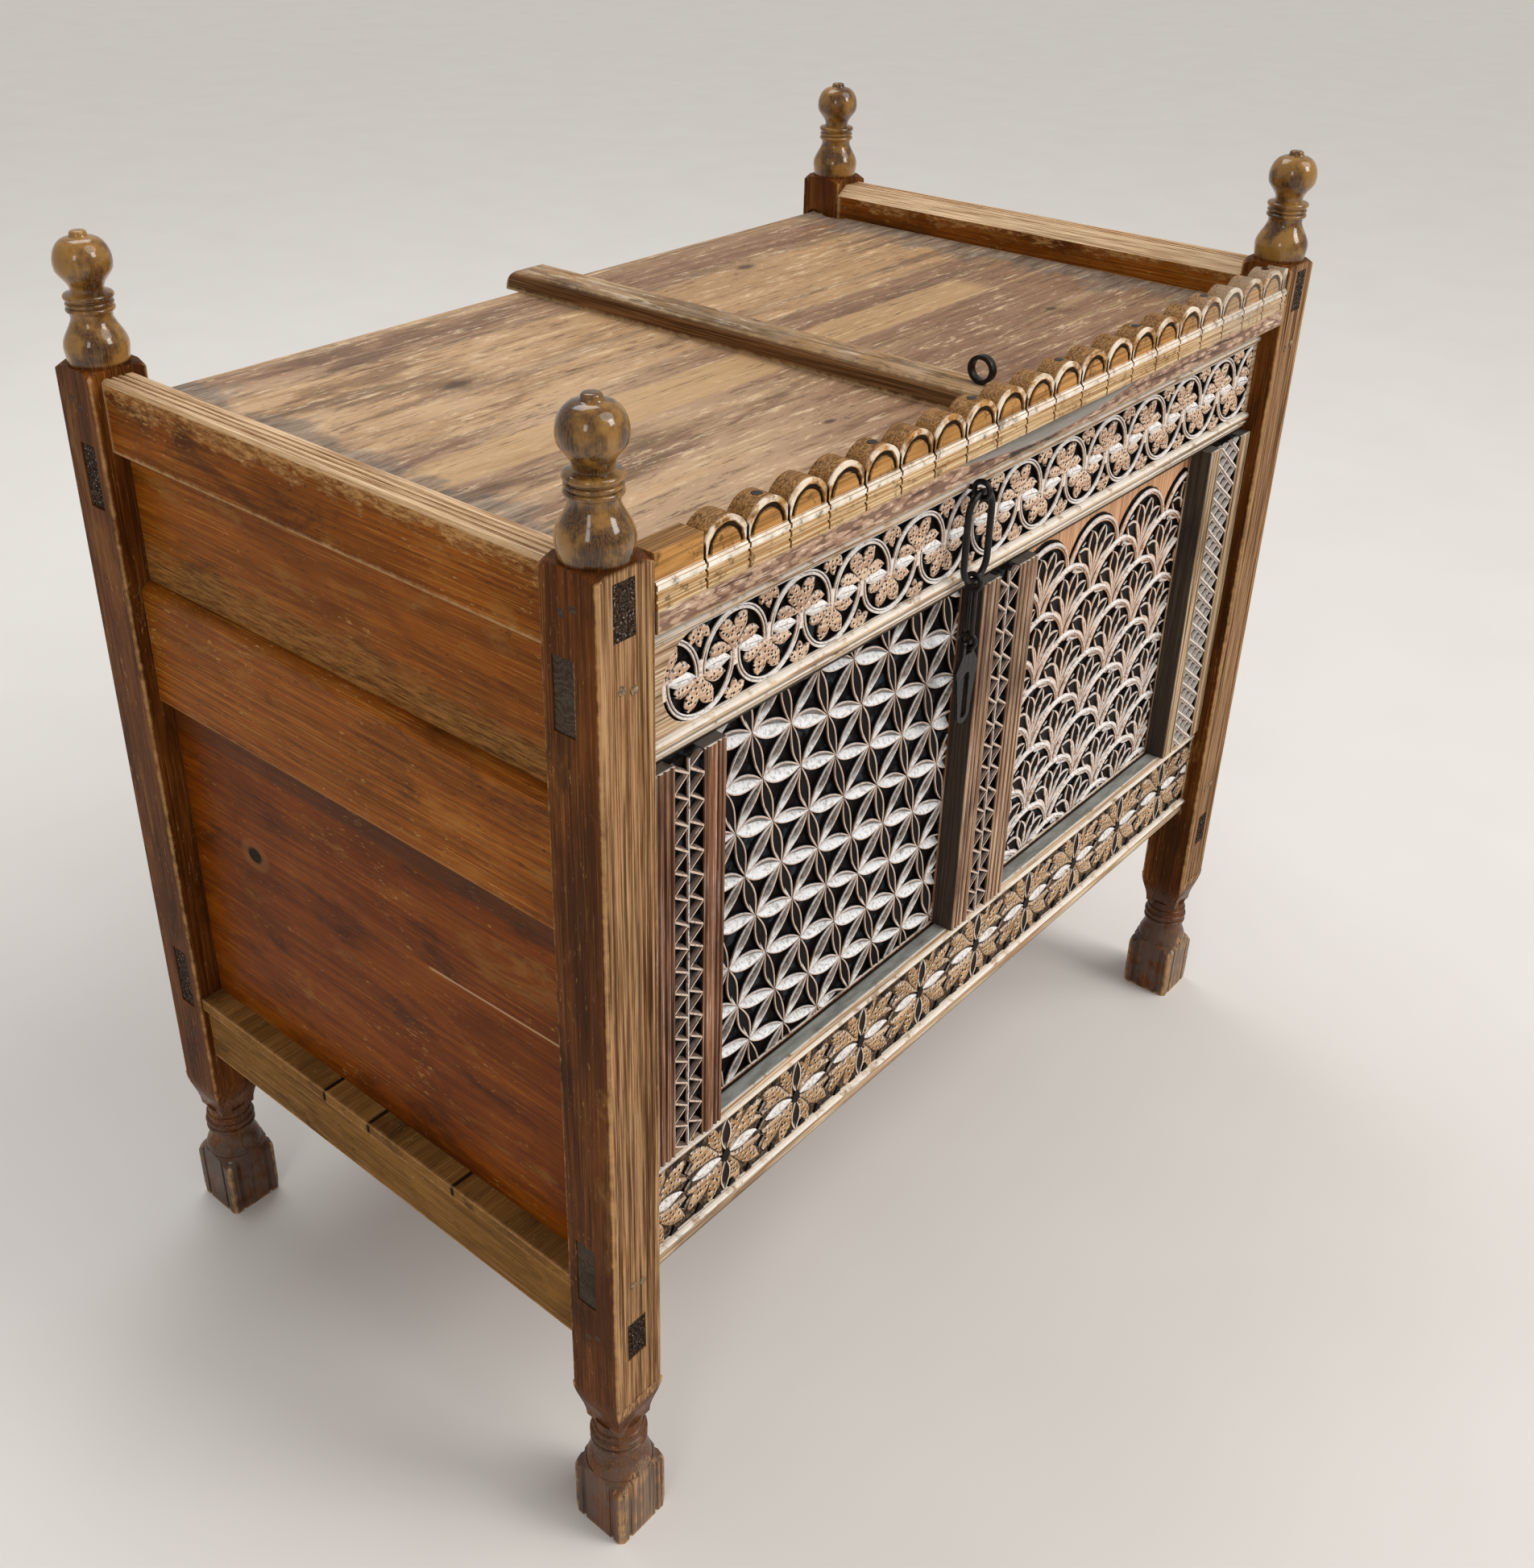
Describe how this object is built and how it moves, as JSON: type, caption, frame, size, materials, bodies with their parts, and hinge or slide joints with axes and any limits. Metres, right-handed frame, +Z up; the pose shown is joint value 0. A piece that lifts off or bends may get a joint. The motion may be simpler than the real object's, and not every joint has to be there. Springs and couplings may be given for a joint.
{
  "type": "dowry chest",
  "caption": "Carved wooden dowry chest on turned post legs, with a plank lid on wooden pins, a scalloped cresting and a hanging iron chain hasp.",
  "frame": {"origin": "centre of the footprint on the floor", "axes": "+X to the right along the carved front, +Y from the front towards the back, +Z up"},
  "size_m": [1.138, 0.682, 1.126],
  "materials": {
    "turned_post_wood": "worn oil polish",
    "carved_wood": "worn oil polish",
    "plain_board_wood": "worn oil polish",
    "lid_wood": "worn and greyed",
    "peg_wood": "bare end grain",
    "wrought_iron": "forged, dark and lightly rusted"
  },
  "bodies": {
    "carcass": {"front_left_post": "turned_post_wood", "front_right_post": "turned_post_wood", "rear_left_post": "turned_post_wood", "rear_right_post": "turned_post_wood", "front_top_rail": "carved_wood", "front_bottom_rail": "carved_wood", "front_left_stile": "carved_wood", "front_centre_stile": "carved_wood", "front_right_stile": "carved_wood", "front_left_panel": "carved_wood", "front_right_panel": "carved_wood", "left_top_rail": "plain_board_wood", "left_upper_panel": "plain_board_wood", "left_mid_rail": "plain_board_wood", "left_lower_panel": "plain_board_wood", "left_bottom_rail": "plain_board_wood", "right_top_rail": "plain_board_wood", "right_upper_panel": "plain_board_wood", "right_mid_rail": "plain_board_wood", "right_lower_panel": "plain_board_wood", "right_bottom_rail": "plain_board_wood", "rear_top_rail": "plain_board_wood", "rear_upper_board": "plain_board_wood", "rear_lower_board": "plain_board_wood", "rear_bottom_rail": "plain_board_wood", "floor_board_front": "plain_board_wood", "floor_board_second": "plain_board_wood", "floor_board_third": "plain_board_wood", "floor_board_rear": "plain_board_wood", "front_pegs": "peg_wood", "rear_pegs": "peg_wood", "left_pegs": "peg_wood", "right_pegs": "peg_wood", "hasp_staple": "wrought_iron"},
    "lid": {"lid_front_board": "lid_wood", "lid_rear_board": "lid_wood", "lid_dowels": "peg_wood", "lid_batten": "lid_wood", "batten_nails": "wrought_iron", "lid_cresting": "carved_wood", "cresting_nails": "wrought_iron", "lid_eye": "wrought_iron"},
    "hasp_upper_link": {"hasp_upper_link": "wrought_iron"},
    "hasp_lower_link": {"hasp_lower_link": "wrought_iron"},
    "hasp_plate": {"hasp_plate": "wrought_iron"}
  },
  "joints": [
    {"name": "lid_hinge", "type": "hinge", "parent": "carcass", "child": "lid", "pos_m": [0, 0.319, 0.956], "axis": [-1, 0, 0], "range_deg": [0, 118]},
    {"name": "upper_link_swing", "type": "hinge", "parent": "carcass", "child": "hasp_upper_link", "pos_m": [-0.078, -0.33, 0.9227], "axis": [-1, 0, 0], "range_deg": [0, 140]},
    {"name": "lower_link_swing", "type": "hinge", "parent": "hasp_upper_link", "child": "hasp_lower_link", "pos_m": [-0.078, -0.33, 0.8371], "axis": [-1, 0, 0], "range_deg": [0, 85]},
    {"name": "hasp_plate_swing", "type": "hinge", "parent": "hasp_lower_link", "child": "hasp_plate", "pos_m": [-0.078, -0.33, 0.7734], "axis": [-1, 0, 0], "range_deg": [0, 40]}
  ]
}
